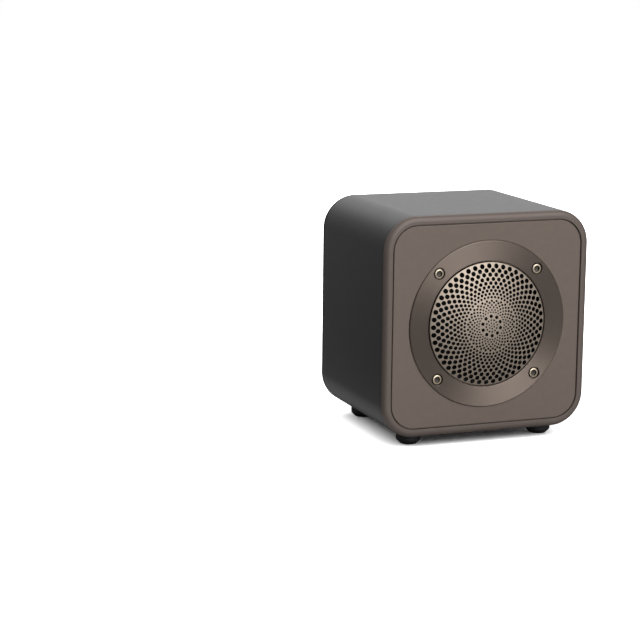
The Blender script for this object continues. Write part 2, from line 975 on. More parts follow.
LEAD_RED = Finish("lead_red", (0.5, 0.03, 0.025), (0.38, 0.02, 0.018), 0.3, 0.45, 0.1)


def hand_over(
    piece: Piece, body: str | None, finish: Finish, nodes: Sequence[str] = ()
) -> None:
    """Dress a finished piece and set it on its body.

    Args:
        piece: The piece.
        body: The body that it moves with, or None where it already bends between two.
        finish: The piece's finish.
        nodes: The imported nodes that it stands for.
    """
    piece.data.materials.clear()
    piece.data.materials.append(finish.material())
    if body is not None:
        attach(piece, body)
    if nodes:
        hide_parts(*nodes)
    LOG.info("%s: %d faces on %s", piece.name, len(piece.data.polygons), body or "two bodies")


@dataclass
class Housing:
    """The painted sleeve and its four rubber feet."""

    half: float = 50.0
    corner: float = 15.5
    wall: float = 3.0
    front: float = -2.7
    rear: float = -75.4
    seam: float = 0.3
    foot_side: float = 32.65
    foot_front: float = -25.1
    foot_rear: float = 29.9
    foot_outline: tuple[Point, ...] = (
        (0.0, 0.12), (2.4, 0.12), (2.6, 0.0), (3.45, 0.0), (3.68, 0.06), (3.86, 0.2),
        (5.38, 1.7), (5.52, 1.9), (5.6, 2.2), (5.6, 4.8), (5.52, 4.94), (5.35, 5.0),
    )
    stud: float = 1.9
    barb: float = 2.5
    barb_root: float = 3.3
    barb_end: float = 4.9

    def build(self) -> None:
        """Model the sleeve and the feet and dress them."""
        self.build_sleeve()
        self.build_feet()

    def build_sleeve(self) -> None:
        """Model the sleeve: a round-cornered tube with a fine relief at both seams."""
        length = self.front - self.rear
        sleeve = Bench.slab("case_sleeve", (self.half, self.half), self.corner, self.rear,
                            [(0, length)])
        Bench.hollow(sleeve, self.wall)
        ends = (self.front, self.rear)
        inner = self.half - self.wall / 2

        def on_seam(first: Vector, second: Vector) -> bool:
            """Tell an outer end edge from the rest."""
            level = any(abs(first.z - z) < NEAR and abs(second.z - z) < NEAR for z in ends)
            return level and self.reach(first) > inner and self.reach(second) > inner

        Bench.pick_edges(sleeve, on_seam)
        Bench.bevel(self.seam)
        Bench.stand(sleeve, View.FRONT)
        hand_over(Bench.shade(sleeve), "chassis", CASE_PAINT, ["case"])

    def reach(self, point: Vector) -> float:
        """Give the size of the round-cornered outline that a point lies on.

        Args:
            point: The point, in millimetres.

        Returns:
            The outline's distance from the axis at the middle of a side.
        """
        straight = self.half - self.corner
        x = max(abs(point.x) - straight, 0.0)
        y = max(abs(point.y) - straight, 0.0)
        if x and y:
            return straight + math.hypot(x, y)
        return max(abs(point.x), abs(point.y))

    def build_feet(self) -> None:
        """Model one foot with a soft sole and shoulder, and copy it to the four corners."""
        _, top = self.foot_outline[-1]
        root, end = top + self.barb_root, top + self.barb_end
        profile = [
            *self.foot_outline, (self.stud, top), (self.stud, root), (self.barb, root),
            (self.stud, end), (0.0, end),
        ]
        model = Bench.turn("foot", profile, sides=64)
        rows = {"front": self.foot_front, "rear": self.foot_rear}
        for row, along in rows.items():
            for column, side in (("left", -1), ("right", 1)):
                name = f"foot_{row}_{column}"
                foot = Bench.copy(model, "rubber_" + name)
                Bench.move(foot, (side * self.foot_side, along, 0.0))
                hand_over(Bench.shade(foot), "chassis", RUBBER, [name])
        bpy.data.objects.remove(model)


@dataclass
class FrontFace:
    """The bezel, the inset plate, the turned ring and its four cap screws."""

    half: float = 50.0
    corner: float = 15.5
    rim_back: float = -2.7
    seam: float = 0.2
    edge: float = 2.5
    rim: float = 3.75
    groove: float = 0.5
    plate_front: float = -0.2
    plate_back: float = -1.4
    baffle_back: float = -7.0
    spigot: float = 3.15
    bore: float = 26.5
    ring_bore: float = 28.75
    ring_outer: float = 37.95
    ring_seat: float = 38.05
    ring_front: float = 0.3
    ring_dish: float = 0.32
    ring_back: float = -2.4
    flange_seat: float = 31.3
    flange_level: float = -3.2
    screw_spot: float = 24.0
    screw_bore: float = 2.78
    screw_seat: float = -1.5
    screw_top: float = 0.1
    cap: float = 2.3
    shank: float = 1.25
    key: float = 1.56
    boss_spot: float = 40.1
    boss: float = 3.6
    boss_back: float = -17.0
    lip: float = 0.14
    rim_strip: float = 0.06
    plate_edge: float = 0.18
    ring_edge: float = 0.3
    screw_mouth: float = 0.16
    screw_play: float = 0.15
    screw_end: float = -11.5
    screw_turns: tuple[float, ...] = (8.0, 41.0, 23.0, 52.0)

    def build(self) -> None:
        """Model the four kinds of piece and dress them."""
        self.build_bezel()
        self.build_plate()
        self.build_ring()
        self.build_screws()

    def build_bezel(self) -> None:
        """Model the bezel: a rounded rim, a sharp inner lip, a pocket and the baffle."""
        back = self.rim_back
        flat = self.rim - self.edge - self.lip
        pocket = -self.plate_back - self.lip
        bezel = Bench.slab("bezel_rim", (self.half, self.half), self.corner, back, [
            (0, -back - self.edge), *arc_steps(self.edge, 9), (self.rim_strip, 0),
            (flat - self.rim_strip, 0), (self.lip, -self.lip), (0, -pocket),
        ])
        Bench.pick_edges(bezel, lambda first, second: max(first.z, second.z) < back + NEAR)
        Bench.bevel(self.seam)
        Bench.pick_faces(
            bezel, lambda middle, normal: normal.z < -LEVEL_FACE and middle.z < back + NEAR
        )
        Bench.steps([(STRIP, 0.0), (self.spigot - self.seam - STRIP, 0.0),
                     (0, back - self.baffle_back)])
        bpy.ops.object.mode_set(mode="OBJECT")
        deep = self.baffle_back - PAST
        stair = Bench.turn("stair", [
            (0, PAST), (self.ring_seat, PAST), (self.ring_seat, self.ring_back),
            (self.flange_seat, self.ring_back), (self.flange_seat, self.flange_level),
            (self.bore, self.flange_level), (self.bore, deep), (0, deep),
        ], sides=128)
        Bench.meet(bezel, [stair], Join.CUT)
        root = self.baffle_back + PAST
        boss = Bench.turn("boss", [
            (0, root), (self.boss, root), (self.boss, self.boss_back), (0, self.boss_back),
        ], sides=32)
        Bench.meet(bezel, [Bench.spread(boss, "bosses", corners(self.boss_spot))], Join.ADD)
        Bench.stand(bezel, View.FRONT)
        hand_over(Bench.shade(bezel), "chassis", BEZEL_BRONZE, ["front_bezel"])

    def build_plate(self) -> None:
        """Model the inset plate, with a broken edge outside and round its opening."""
        inset = self.rim + self.groove
        fine = self.plate_edge
        flare = self.plate_front - fine
        plate = Bench.slab("inset_plate", (self.half - inset, self.half - inset),
                           self.corner - inset, self.plate_back, [
            (0, self.plate_front - self.plate_back - fine), (fine / 2, fine * 0.7),
            (fine / 2, fine * 0.3), (STRIP, 0),
        ])
        deep = self.plate_back - PAST
        hole = Bench.turn("hole", [
            (0, PAST), (self.ring_seat + fine, PAST), (self.ring_seat + fine, self.plate_front),
            (self.ring_seat, flare), (self.ring_seat, deep), (0, deep),
        ], sides=160)
        Bench.meet(plate, [hole], Join.CUT)
        Bench.stand(plate, View.FRONT)
        hand_over(Bench.shade(plate), "chassis", PLATE_BRONZE, ["front_plate"])

    def build_ring(self) -> None:
        """Model the turned ring with softened corners and four counterbores."""
        top, back, fine = self.ring_front, self.ring_back, self.ring_edge
        outer, bore = self.ring_outer, self.ring_bore
        low = top - self.ring_dish
        ring = Bench.turn("turned_ring", [
            (bore, back), (outer, back), (outer, top - fine), (outer - 0.08, top - fine * 0.62),
            (outer - 0.3, top - 0.08), (outer - fine, top), (outer - fine - STRIP, top),
            (bore + fine + STRIP, low), (bore + fine, low), (bore + 0.08, low - 0.09),
            (bore, low - fine), (bore, back),
        ], sides=160)
        mouth = self.screw_bore + self.screw_mouth
        hole = self.shank + self.screw_play
        deep = back - PAST
        cutter = Bench.turn("counterbore", [
            (0, PAST), (mouth, PAST), (mouth, top), (self.screw_bore, top - self.screw_mouth),
            (self.screw_bore, self.screw_seat), (hole, self.screw_seat), (hole, deep), (0, deep),
        ], sides=40)
        cutters = Bench.spread(cutter, "counterbores", corners(self.screw_spot))
        Bench.meet(ring, [cutters], Join.CUT)
        Bench.stand(ring, View.FRONT)
        hand_over(Bench.shade(ring), "chassis", RING_METAL, ["trim_ring"])

    def build_screws(self) -> None:
        """Model one cap screw with a hexagon socket and set four, each turned differently."""
        top, end = self.screw_top, self.screw_end
        screw = Bench.turn("cap_screw", [
            (0, end), (self.shank - 0.2, end), (self.shank, end + 0.3),
            (self.shank, self.screw_seat), (self.cap, self.screw_seat),
            (self.cap, top - 0.6), (self.cap - 0.08, top - 0.31), (self.cap - 0.28, top - 0.1),
            (self.cap - 0.56, top), (0, top),
        ], sides=48)
        socket = Bench.turn("socket", [
            (0, top + 0.5), (self.key, top + 0.5), (self.key, top - 1.1), (0, top - 1.35),
        ], sides=6)
        Bench.meet(screw, [socket], Join.CUT)
        mouth = Bench.turn("mouth", [
            (0, top + 0.1), (self.key + 0.02, top + 0.1), (self.key - 0.18, top - 0.2),
            (0, top - 0.2),
        ], sides=32)
        Bench.meet(screw, [mouth], Join.CUT)
        screws = Bench.spread(screw, "cap_screws", corners(self.screw_spot), self.screw_turns)
        Bench.stand(screws, View.FRONT)
        hand_over(Bench.shade(screws), "chassis", CAP_STEEL, ["ring_screws"])


@dataclass(frozen=True)
class HoleRing:
    """One ring of round holes about the middle of the grille."""

    reach: float
    count: int
    width: float
    phase: float


@dataclass(frozen=True)
class HoleGroup:
    """Rings of equal count whose holes grow outwards and stand in staggered rows."""

    count: int
    width: float
    growth: float
    reaches: tuple[float, ...]

    def rings(self) -> list[HoleRing]:
        """List the group's rings from the inside outwards.

        Returns:
            The rings.
        """
        stagger = 180 / self.count
        return [
            HoleRing(reach, self.count, self.width + self.growth * index, stagger * (index % 2))
            for index, reach in enumerate(self.reaches)
        ]


@dataclass
class Grille:
    """The domed sheet, pierced in rings whose holes grow outwards."""

    edge: float = 28.3
    rise: float = 4.8
    sheet: float = 0.5
    roll: float = 0.7
    flange: float = 31.0
    flange_front: float = -2.4
    flange_back: float = -3.2
    dome_steps: int = 15
    fine_hole: float = 1.0
    middle: tuple[HoleRing, ...] = (
        HoleRing(0.0, 1, 0.75, 0.0),
        HoleRing(1.31, 6, 0.75, 40.0),
        HoleRing(2.7, 12, 0.87, 7.0),
        HoleRing(4.47, 10, 1.6, 22.5),
    )
    groups: tuple[HoleGroup, ...] = (
        HoleGroup(30, 0.78, 0.07, (6.25, 7.3, 8.42, 9.46, 10.5, 11.34)),
        HoleGroup(48, 1.2, 0.13, (12.93, 14.4, 15.86, 17.38, 19.08, 20.85, 22.78, 24.65, 26.57)),
    )

    def dome(self, ball: float, reach: float) -> list[Point]:
        """Give points of a dome from its crown outwards.

        Args:
            ball: The radius of the dome's ball.
            reach: The radius of the last point.

        Returns:
            Radius and height above the ball's middle of each point.
        """
        radii = [reach * index / self.dome_steps for index in range(self.dome_steps + 1)]
        return [(r, math.sqrt(ball * ball - r * r)) for r in radii]

    def profile(self) -> list[Point]:
        """Give the turned profile of the sheet, with a rolled edge, a skirt and a flange.

        Returns:
            Radius and level of each point.
        """
        ball = (self.edge ** 2 + self.rise ** 2) / (2 * self.rise)
        middle = self.rise - ball
        tilt = math.degrees(math.acos((self.edge - self.roll) / (ball - self.roll)))
        hub = (self.edge - self.roll, middle + (ball - self.roll) * math.sin(math.radians(tilt)))
        roll = arc_points(hub, self.roll, tilt, 0.0, 5)
        outside = [(r, middle + h) for r, h in self.dome(ball, roll[0][0])][:-1]
        skirt = self.edge - self.sheet
        inside = [(r, middle + h) for r, h in self.dome(ball - self.sheet, skirt)]
        return [
            *outside, *roll, (self.edge, self.flange_front), (self.flange, self.flange_front),
            (self.flange, self.flange_back), (skirt, self.flange_back), *reversed(inside),
        ]

    def build(self) -> None:
        """Model the sheet, pierce it and dress it."""
        grille = Bench.turn("pierced_grille", self.profile())
        Bench.meet(grille, [self.punches()], Join.CUT)
        Bench.stand(grille, View.FRONT)
        hand_over(Bench.shade(grille, 40.0), "chassis", GRILLE_METAL, ["grille"])

    def add_punch(self, ring: HoleRing) -> None:
        """Add the first punch of a ring.

        Args:
            ring: The ring.
        """
        angle = math.radians(ring.phase)
        bpy.ops.mesh.primitive_cylinder_add(
            vertices=12 if ring.width < self.fine_hole else 16, radius=ring.width / 2 * MM,
            depth=2 * self.rise * MM, rotation=(0, 0, angle),
            location=(ring.reach * math.cos(angle) * MM, ring.reach * math.sin(angle) * MM,
                      self.rise / 2 * MM),
        )

    def punches(self) -> Piece:
        """Model the punches: one pin for each ring, spun round the axis.

        Returns:
            All punches as one piece.
        """
        first, *rings = self.middle
        for group in self.groups:
            rings.extend(group.rings())
        Bench.clear()
        self.add_punch(first)
        punches = bpy.context.object
        bpy.ops.object.transform_apply(location=True, rotation=True, scale=True)
        bpy.ops.object.mode_set(mode="EDIT")
        for ring in rings:
            bpy.ops.mesh.select_all(action="DESELECT")
            self.add_punch(ring)
            last = ring.count - 1
            bpy.ops.mesh.spin(steps=last, dupli=True, angle=math.tau * last / ring.count,
                              center=(0, 0, 0), axis=(0, 0, 1))
        bpy.ops.mesh.select_all(action="SELECT")
        bpy.ops.mesh.normals_make_consistent(inside=False)
        bpy.ops.object.mode_set(mode="OBJECT")
        return punches


@dataclass
class DriveUnit:
    """The moving parts of the drive unit and the two rings that hang them in the basket."""

    sectors: int = 12
    landing: float = 27.2
    roll_outer: float = 24.6
    roll_inner: float = 19.0
    lip: float = 17.6
    level: float = -7.75
    skin: float = 0.5
    crown: float = -5.45
    neck: float = 6.75
    depth: float = 5.8
    cap_radius: float = 8.35
    cap_rise: float = 2.6
    collar: float = 6.76
    spider_inner: float = 7.6
    spider_outer: float = 17.4
    spider_rim: float = 20.9
    seat: float = -15.44
    rise: float = 0.9
    web: float = 0.35
    wave: float = 0.4
    waves: int = 4
    hold: float = 0.9
    grip: float = 0.4
    gap: float = 0.05
    belly: float = 0.25
    cap_taper: float = 0.94
    wave_steps: int = 6
    roll_steps: int = 12
    cone_steps: int = 8
    cap_steps: int = 10

    def build(self) -> None:
        """Model the roll, the spider, the cone and the dust cap and dress them."""
        self.build_roll()
        self.build_spider()
        self.build_cone()
        self.build_cap()

    def flex(self, ring: Piece) -> Piece:
        """Let a ring bend from the basket at its outer edge to the cone at its inner one.

        A piece bends along one line, so the ring is parted into sectors that bend along their
        own radius and are joined again.

        Args:
            ring: The ring in its place.

        Returns:
            The ring.
        """
        name = ring.name
        half = math.pi / self.sectors
        parts = []
        for k in range(self.sectors):
            angle = half * (2 * k + 1)
            line = Vector((math.cos(angle), 0.0, math.sin(angle)))
            part = Bench.copy(ring, f"{name}_{k}")
            self.keep_sector(part, line, half)
            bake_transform(part)
            parts.append(part)
        bpy.data.objects.remove(ring)
        whole = Bench.merge(parts, name)
        Bench.open(whole)
        Bench.tidy_mesh()
        return whole

    @staticmethod
    def keep_sector(part: Piece, line: Vector, half: float) -> None:
        """Delete a ring's faces outside one sector.

        Args:
            part: The ring.
            line: The direction of the sector's middle.
            half: Half the sector's angle in radians.
        """
        def outside(middle: Vector, _: Vector) -> bool:
            """Tell whether a face lies outside the sector."""
            arm = Vector((middle.x, 0.0, middle.z - CENTRE_Z))
            return arm.normalized().dot(line) < math.cos(half)

        Bench.pick_faces(part, outside)
        bpy.ops.mesh.delete(type="FACE")
        bpy.ops.object.mode_set(mode="OBJECT")

    def build_spider(self) -> None:
        """Model the corrugated cloth ring behind the cone."""
        count = self.waves * self.wave_steps
        lower = [(self.spider_rim, self.seat)]
        for k in range(count + 1):
            share = k / count
            radius = self.spider_outer + (self.spider_inner - self.spider_outer) * share
            swing = self.wave * math.sin(2 * math.pi * self.waves * share)
            lower.append((radius, self.seat + self.rise * share - swing))
        lower.append((self.collar, self.seat + self.rise))
        upper = [(radius, level + self.web) for radius, level in reversed(lower)]
        spider = Bench.turn("spider_ring", [*lower, *upper, lower[0]])
        Bench.stand(spider, View.FRONT)
        spider = self.flex(spider)
        hand_over(Bench.shade(spider), None, SPIDER, ["spider"])

    def arch(self, half: float, foot: float) -> list[Point]:
        """Give the half round of the roll.

        Args:
            half: Half of its width.
            foot: The level of its two feet.

        Returns:
            Its points from the outer foot to the inner one.
        """
        middle = (self.roll_outer + self.roll_inner) / 2
        height = self.crown - (self.level + self.skin)
        angles = [math.pi * k / self.roll_steps for k in range(self.roll_steps + 1)]
        return [(middle + half * math.cos(a), foot + height * math.sin(a)) for a in angles]

    def build_roll(self) -> None:
        """Model the half roll round the cone."""
        level, over = self.level, self.level + self.skin
        half = (self.roll_outer - self.roll_inner) / 2
        roll = Bench.turn("surround_roll", [
            (self.landing, level), (self.landing, over), *self.arch(half, over),
            (self.lip, over), (self.lip, level), *reversed(self.arch(half - self.skin, level)),
            (self.landing, level),
        ])
        Bench.stand(roll, View.FRONT)
        roll = self.flex(roll)
        hand_over(Bench.shade(roll), None, ROLL_RUBBER, ["surround"])

    def build_cone(self) -> None:
        """Model the cone, which bellies a little between its neck and its lip."""
        top = self.level - self.gap
        flare = []
        for k in range(self.cone_steps + 1):
            share = k / self.cone_steps
            sag = self.belly * math.sin(math.pi * share)
            radius = self.neck + (self.lip - self.neck) * share
            flare.append((radius, top - self.depth * (1 - share) - sag))
        under = [(r, z - self.skin) for r, z in reversed(flare)]
        cone = Bench.turn("paper_cone", [
            *flare, (self.roll_inner, top), (self.roll_inner, top - self.skin), *under, flare[0],
        ])
        Bench.stand(cone, View.FRONT)
        hand_over(Bench.shade(cone), "diaphragm", CONE_PAPER, ["cone"])

    def build_cap(self) -> None:
        """Model the dust cap, a thin dome on the cone's flare."""
        slope = self.depth / (self.lip - self.neck)
        base = self.level - self.depth + slope * (self.cap_radius - self.neck)
        ball = (self.cap_radius ** 2 + self.cap_rise ** 2) / (2 * self.cap_rise)
        low = base + self.cap_rise - ball
        radii = [self.cap_radius * k / self.cap_steps for k in range(self.cap_steps + 1)]
        dome = [(r, low + math.sqrt(ball ** 2 - r ** 2)) for r in radii]
        under = [(r * self.cap_taper, z - self.skin * (1 - r / self.cap_radius))
                 for r, z in reversed(dome)]
        cap = Bench.turn("dust_dome", [*dome, *under], sides=64)
        Bench.stand(cap, View.FRONT)
        hand_over(Bench.shade(cap), "diaphragm", CONE_PAPER, ["dust_cap"])


class Key(Enum):
    """The keys on the rear."""

    MINUS = "minus"
    POWER = "power"
    PLUS = "plus"

    def node(self) -> str:
        """Name the key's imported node."""
        return "button_" + self.value

    def body(self) -> str:
        """Name the body that the key moves with."""
        return self.value + "_key"


@dataclass
class RearPanel:
    """The rear panel with its screws, and the three keys with their signs."""

    half: float = 50.0
    corner: float = 15.5
    thick: float = 2.6
    edge: float = 1.5
    recess: Point = (33.0, 18.0)
    recess_corner: float = 6.0
    recess_depth: float = 1.2
    recess_up: float = 12.0
    key: float = 5.2
    key_gap: float = 0.3
    key_top: float = -0.2
    key_flange: float = 6.8
    stem: float = 1.6
    usb: Point = (4.8, 1.95)
    aux: float = 3.4
    pipe: float = 1.15
    tie: float = 2.75
    tie_bore: float = 3.05
    tie_seat: float = -2.2
    tie_spot: float = 40.1
    lip_inset: float = 3.15
    lip_wall: float = 2.0
    lip_depth: float = 3.0
    lip_sink: float = 0.3
    bore_mouth: float = 0.2
    recess_soft: float = 0.4
    usb_corner: float = 1.9
    tie_mouth: float = 0.3
    tie_head: float = 1.8
    tie_length: float = 58.0
    tie_shank: float = 1.5
    tie_turns: tuple[float, ...] = (12.0, 57.0, 33.0, 78.0)
    cross: Point = (1.5, 0.28)
    cross_depth: float = 1.1
    key_soft: float = 0.55
    key_play: float = 0.15
    flange_thick: float = 1.0
    sign: Point = (1.7, 0.3)
    sign_corner: float = 0.28
    sign_depth: float = 0.42
    sign_wall: float = 0.22
    sign_edge: float = 0.06
    hoop_bore: float = 1.2
    hoop_gap: Point = (0.75, 1.0)
    hoop_gap_up: float = 1.5
    stroke: Point = (0.25, 0.85)
    stroke_corner: float = 0.22
    stroke_up: float = 1.1

    def seat(self, node: str) -> Point:
        """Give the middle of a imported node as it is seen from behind.

        Args:
            node: The node's name.

        Returns:
            How far it lies across and up, in millimetres.
        """
        low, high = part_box(node)
        across = (low[0] + high[0]) / 2 / MM
        return -across, (low[2] + high[2]) / 2 / MM - CENTRE_Z

    def build(self) -> None:
        """Model the panel, the screws, the keys and the signs and dress them."""
        self.build_panel()
        self.build_screws()
        for key in Key:
            self.build_key(key)
        self.build_signs()

    def drill(self, name: str, spot: Point, radius: float, depth: float) -> Piece:
        """Make a round tool with a broken edge at its mouth.

        Args:
            name: The tool's name.
            spot: Where it goes in, across and up.
            radius: The radius of the hole.
            depth: How deep it goes.

        Returns:
            The tool.
        """
        mouth = radius + self.bore_mouth
        level = -self.recess_depth
        tool = Bench.turn(name, [
            (0, 2 * PAST), (mouth, 2 * PAST), (mouth, level), (radius, level - self.bore_mouth),
            (radius, -depth), (0, -depth),
        ], sides=48)
        return Bench.move(tool, (*spot, 0))

    def build_panel(self) -> None:
        """Model the panel: a rounded edge, a recess, the openings and the locating lip."""
        flat = self.thick - self.edge
        panel = Bench.slab("rear_cover", (self.half, self.half), self.corner, -self.thick,
                           [(0, flat), *arc_steps(self.edge, 7), (STRIP, 0)])
        soft = self.recess_soft
        width, height = self.recess
        well = Bench.slab("well", (width + soft, height + soft), self.recess_corner + soft, -PAST, [
            (0, PAST), *arc_steps(soft, 4)[::-1], (0, self.recess_depth - soft),
        ], arc=12)
        Bench.flip(well)
        Bench.move(well, (0, self.recess_up, 0))
        Bench.meet(panel, [well], Join.CUT)
        deep = self.thick + PAST
        bores = {key.node(): self.key + self.key_gap for key in Key}
        bores |= {"aux_socket": self.aux, "light_pipe": self.pipe}
        tools = [self.drill("bore_" + node, self.seat(node), radius, deep)
                 for node, radius in bores.items()]
        slot = Bench.slab("slot", self.usb, self.usb_corner, -deep, [(0, deep + 2 * PAST)], arc=8)
        tools.append(Bench.move(slot, (*self.seat("usb_socket"), 0)))
        mouth = self.tie_bore + self.tie_mouth
        bore = Bench.turn("tie_bore", [
            (0, 2 * PAST), (mouth, 2 * PAST), (mouth, 0), (self.tie_bore, -self.tie_mouth),
            (self.tie_bore, self.tie_seat), (0, self.tie_seat),
        ], sides=40)
        tools.append(Bench.spread(bore, "tie_bores", corners(self.tie_spot)))
        Bench.meet(panel, tools, Join.CUT)
        inset = self.lip_inset
        lip = Bench.slab("lip", (self.half - inset, self.half - inset), self.corner - inset,
                         -self.thick - self.lip_depth, [(0, self.lip_depth + self.lip_sink)])
        Bench.meet(panel, [Bench.hollow(lip, self.lip_wall)], Join.ADD)
        Bench.stand(panel, View.REAR)
        hand_over(Bench.shade(panel), "chassis", REAR_PLASTIC, ["rear_panel"])

    def build_screws(self) -> None:
        """Model one screw with a domed head and a cross recess, and set four."""
        seat = self.tie_seat
        top = seat + self.tie_head
        end = seat - self.tie_length
        screw = Bench.turn("tie_screw", [
            (0, end), (self.tie_shank - 0.4, end), (self.tie_shank, end + 1),
            (self.tie_shank, seat), (self.tie, seat), (self.tie, top - 0.9),
            (self.tie - 0.25, top - 0.5), (self.tie - 0.8, top - 0.2), (self.tie - 1.6, top - 0.04),
            (0, top),
        ], sides=40)
        for half in (self.cross, self.cross[::-1]):
            blade = Bench.slab("blade", half, 0.0, top - self.cross_depth, [(0, 1.5)])
            Bench.meet(screw, [blade], Join.CUT)
        screws = Bench.spread(screw, "cross_screws", corners(self.tie_spot), self.tie_turns)
        Bench.stand(screws, View.REAR)
        hand_over(Bench.shade(screws), "chassis", BLACK_SCREW, ["tie_screws"])

    def build_key(self, key: Key) -> None:
        """Model one key: a soft edge, a shallow dish and the flange behind the panel.

        Args:
            key: The key.
        """
        top, soft = self.key_top, self.key_soft
        low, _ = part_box(key.node())
        end = low[1] / MM - REAR_Y
        flange = -self.thick - self.key_play
        under = flange - self.flange_thick
        crown = arc_points((self.key - soft, top - soft), soft, 90.0, 0.0, 5)
        made = Bench.turn("key_" + key.value, [
            (0, top - 0.28), (1.6, top - 0.25), (3.2, top - 0.13), (4.2, top - 0.02), *crown,
            (self.key, flange), (self.key_flange, flange), (self.key_flange, under),
            (self.stem, under), (self.stem, end), (0, end),
        ], sides=64)
        Bench.move(made, (*self.seat(key.node()), 0))
        Bench.stand(made, View.REAR)
        hand_over(Bench.shade(made), key.body(), KEY_RUBBER, [key.node()])

    def bar(self, name: str, half: Point, corner: float) -> Piece:
        """Model one raised bar of a sign.

        Args:
            name: The bar's name.
            half: Half of its width and of its height.
            corner: The radius of its corners.

        Returns:
            The bar.
        """
        rise = [(0, self.sign_wall), (self.sign_edge, self.sign_edge)]
        return Bench.slab(name, half, corner, self.key_top - self.sign_depth, rise, arc=5)

    def build_signs(self) -> None:
        """Model the raised minus, plus and power signs on the keys."""
        self.set_sign(self.bar("sign_minus", self.sign, self.sign_corner), Key.MINUS)
        plus = self.bar("sign_plus", self.sign, self.sign_corner)
        upright = self.bar("upright", self.sign[::-1], self.sign_corner)
        self.set_sign(Bench.meet(plus, [upright], Join.ADD), Key.PLUS)
        level = self.key_top - self.sign_depth
        wall = level + self.sign_wall
        top = wall + self.sign_edge
        outer, inner = self.sign[0], self.hoop_bore
        hoop = Bench.turn("sign_power", [
            (inner, level), (outer, level), (outer, wall), (outer - self.sign_edge, top),
            (inner + self.sign_edge, top), (inner, wall), (inner, level),
        ], sides=48)
        gap = Bench.slab("gap", self.hoop_gap, 0.0, level - 2 * STRIP, [(0, PAST)])
        Bench.meet(hoop, [Bench.move(gap, (0, self.hoop_gap_up, 0))], Join.CUT)
        stroke = self.bar("stroke", self.stroke, self.stroke_corner)
        Bench.move(stroke, (0, self.stroke_up, 0))
        self.set_sign(Bench.merge([hoop, stroke], "sign_power"), Key.POWER)

    def set_sign(self, sign: Piece, key: Key) -> None:
        """Set a sign on its key and dress it.

        Args:
            sign: The sign, drawn about the origin.
            key: The key.
        """
        Bench.move(sign, (*self.seat(key.node()), 0))
        Bench.stand(sign, View.REAR)
        hand_over(Bench.shade(sign), key.body(), SIGN_INK)


@dataclass
class Interior:
    """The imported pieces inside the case, which keep their shape and get a finish."""

    def finishes(self) -> dict[str, Finish]:
        """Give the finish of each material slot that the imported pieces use.

        Returns:
            The finishes by slot.
        """
        named = (
            CASE_PAINT, BEZEL_BRONZE, PLATE_BRONZE, RING_METAL, GRILLE_METAL, CAP_STEEL, ZINC,
            BLACK_SCREW, REAR_PLASTIC, RUBBER, SPIDER, CONE_PAPER, COIL_PAPER, COPPER, FERRITE,
            PHENOLIC, TINNED, BOARD, SWITCH, PLUNGER, SOCKET_METAL, SOCKET_PLASTIC, LED_CLEAR,
            SLEEVE, NYLON, CELL_WRAP, CRADLE, LEAD_BLACK, LEAD_RED,
        )
        return {
            "button_rubber": KEY_RUBBER, "foam": FOAM, "surround_rubber": ROLL_RUBBER,
            **{finish.name: finish for finish in named},
        }

    def dress(self) -> None:
        """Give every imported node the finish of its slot."""
        finishes = self.finishes()
        for name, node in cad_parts.items():
            for holder in node.material_slots:
                slot = holder.material.name.split(".")[0] if holder.material else ""
                if slot in finishes:
                    holder.material = finishes[slot].material()
            LOG.info("%s dressed", name)


@dataclass(frozen=True)
class Panel:
    """A soft white panel far off.

    Its light rises from nought at the cosine `outer` from its middle to full at `inner`.
    """

    way: Place
    outer: float
    inner: float
    strength: float

    def light(self, wiring: Wiring, ray: bpy.types.NodeSocket) -> Signal:
        """Give the panel's light along a ray.

        Args:
            wiring: The world's node tree.
            ray: The ray's direction.

        Returns:
            The light.
        """
        way = tuple(Vector(self.way).normalized())
        near = wiring.signal("ShaderNodeVectorMath", {"operation": "DOT_PRODUCT"},
                             {0: ray, 1: way}, "Value")
        return wiring.signal("ShaderNodeMapRange", {"interpolation_type": "SMOOTHSTEP"}, {
            "Value": near, "From Min": self.outer, "From Max": self.inner,
            "To Max": self.strength,
        })


@dataclass(frozen=True)
class Card:
    """A glowing card that is seen only in the object's gloss, with sizes in metres.

    Its light is `base`, and grows by `climb` to its top, by `recede` to its rear end and by `dawn`
    for what lies above `dawn_from`.
    """

    name: str
    size: Point
    place: Place
    upright: bool
    base: float
    climb: float = 0.0
    recede: float = 0.0
    dawn: float = 0.0
    dawn_from: float = 0.42

    def stand(self) -> None:
        """Put the card in its place and let it glow."""
        Bench.clear()
        bpy.ops.mesh.primitive_plane_add(size=1.0)
        card = bpy.context.object
        card.name = self.name
        card.scale = (*self.size, 1.0)
        card.rotation_euler = (0.0, math.radians(90 if self.upright else 0), 0.0)
        card.location = self.place
        made = bpy.data.materials.new(self.name)
        card.data.materials.append(made)
        card.visible_camera = False
        card.visible_shadow = False
        card.visible_diffuse = False
        wiring = Wiring(made)
        glow = wiring.node("ShaderNodeEmission", {}, {
            "Color": (1.0, 1.0, 1.0), "Strength": self.light(wiring),
        })
        wiring.node("ShaderNodeOutputMaterial", {}, {"Surface": glow.outputs[0]})

    def light(self, wiring: Wiring) -> Input:
        """Give the light over the card.

        Args:
            wiring: The node tree of its material.

        Returns:
            One number for an even card, or a pattern that grows upwards and to the rear.
        """
        if not self.climb:
            return self.base
        place = wiring.object_place()
        rise = 0.5 - wiring.along(place, "X")
        rear = wiring.along(place, "Y") + 0.5
        high = (rise - self.dawn_from).larger(0.0)
        return rise * self.climb + rear * self.recede + high * self.dawn + self.base


